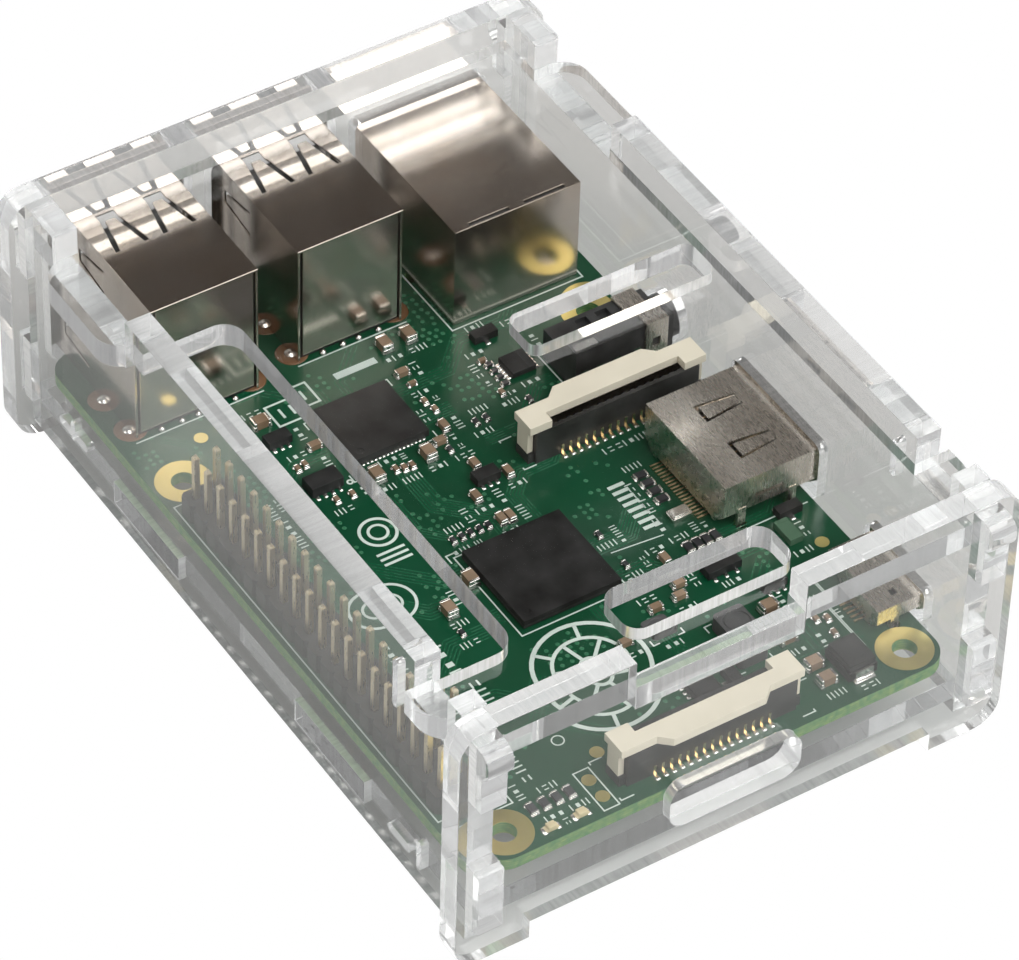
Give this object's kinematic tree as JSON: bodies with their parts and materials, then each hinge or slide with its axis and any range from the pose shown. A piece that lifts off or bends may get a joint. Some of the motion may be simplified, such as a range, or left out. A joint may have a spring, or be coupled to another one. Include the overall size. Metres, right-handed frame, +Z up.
{
  "type": "single board computer",
  "caption": "Credit-card-size single board computer with a double-row pin header and ports on two sides, in a clear snap-together sheet case with a lift-off lid.",
  "frame": {"origin": "under the middle of the case, on the surface it stands on", "axes": "+Z up, +X towards the storage card end, +Y towards the video and power ports side"},
  "size_m": [0.096, 0.067, 0.0336],
  "materials": {
    "clear_sheet": "laser-cut clear acrylic, polished edges",
    "board_green": "glossy dark green solder mask",
    "pad_metal": "tinned gold-olive pads",
    "black_moulding": "moulded black nylon",
    "pin_gold": "flash gold plating",
    "contact_gold": "gold plated contact",
    "port_metal": "nickel plated sheet",
    "lamp_plastic": "cloudy lens",
    "tinned_lead": "tin plating",
    "latch_cream": "unfilled cream moulding",
    "chip_resin": "moulded resin package",
    "ferrite_grey": "ferrite",
    "ceramic_brown": "fired ceramic",
    "resistor_dark": "glazed",
    "crystal_lid": "metal lid",
    "fuse_green": "printed polymer",
    "spring_steel": "bright wire"
  },
  "bodies": {
    "case": {"bottom_plate": "clear_sheet", "side_wall_header": "clear_sheet", "side_wall_ports": "clear_sheet", "end_plate_ports": "clear_sheet", "end_plate_card": "clear_sheet", "circuit_board": "board_green", "plated_pads": "pad_metal", "header_body": "black_moulding", "header_pins": "pin_gold", "usb_shells": "port_metal", "usb_insulators": "black_moulding", "usb_contacts": "contact_gold", "network_port_shell": "port_metal", "network_port_insulator": "black_moulding", "network_port_contacts": "contact_gold", "network_port_lights": "lamp_plastic", "video_port_shell": "port_metal", "video_port_insulator": "black_moulding", "video_port_contacts": "contact_gold", "power_port_shell": "port_metal", "power_port_insulator": "black_moulding", "power_port_contacts": "contact_gold", "av_jack_body": "black_moulding", "av_jack_shell": "port_metal", "av_jack_contacts": "tinned_lead", "camera_connector_body": "black_moulding", "camera_connector_contacts": "contact_gold", "display_connector_body": "black_moulding", "display_connector_contacts": "contact_gold", "processor_package": "chip_resin", "memory_package": "chip_resin", "network_controller_body": "chip_resin", "network_controller_leads": "tinned_lead", "power_inductors": "ferrite_grey", "surge_diode_body": "chip_resin", "surge_diode_terminals": "tinned_lead", "regulator_chips": "chip_resin", "regulator_leads": "tinned_lead", "capacitor_bodies": "ceramic_brown", "capacitor_terminals": "tinned_lead", "resistor_bodies": "resistor_dark", "resistor_terminals": "tinned_lead", "crystals": "crystal_lid", "power_fuse": "fuse_green", "small_transistors": "chip_resin", "transistor_leads": "tinned_lead", "status_leds": "lamp_plastic", "card_socket_shell": "port_metal", "card_socket_base": "black_moulding", "card_socket_contacts": "contact_gold", "card_socket_spring": "spring_steel"},
    "lid": {"top_plate": "clear_sheet"},
    "camera_latch": {"camera_connector_latch": "latch_cream"},
    "display_latch": {"display_connector_latch": "latch_cream"},
    "card_slider": {"card_socket_slider": "black_moulding"}
  },
  "joints": [
    {"name": "lid_lift", "type": "slide", "parent": "case", "child": "lid", "axis": [0, 0, 1], "range_m": [0, 0.04]},
    {"name": "camera_latch_slide", "type": "slide", "parent": "case", "child": "camera_latch", "axis": [0, 0, 1], "range_m": [0, 0.0012]},
    {"name": "display_latch_slide", "type": "slide", "parent": "case", "child": "display_latch", "axis": [0, 0, 1], "range_m": [0, 0.0012]},
    {"name": "card_slider_push", "type": "slide", "parent": "case", "child": "card_slider", "axis": [-1, 0, 0], "range_m": [0, 0.0011], "deforming": ["card_socket_spring"]}
  ]
}
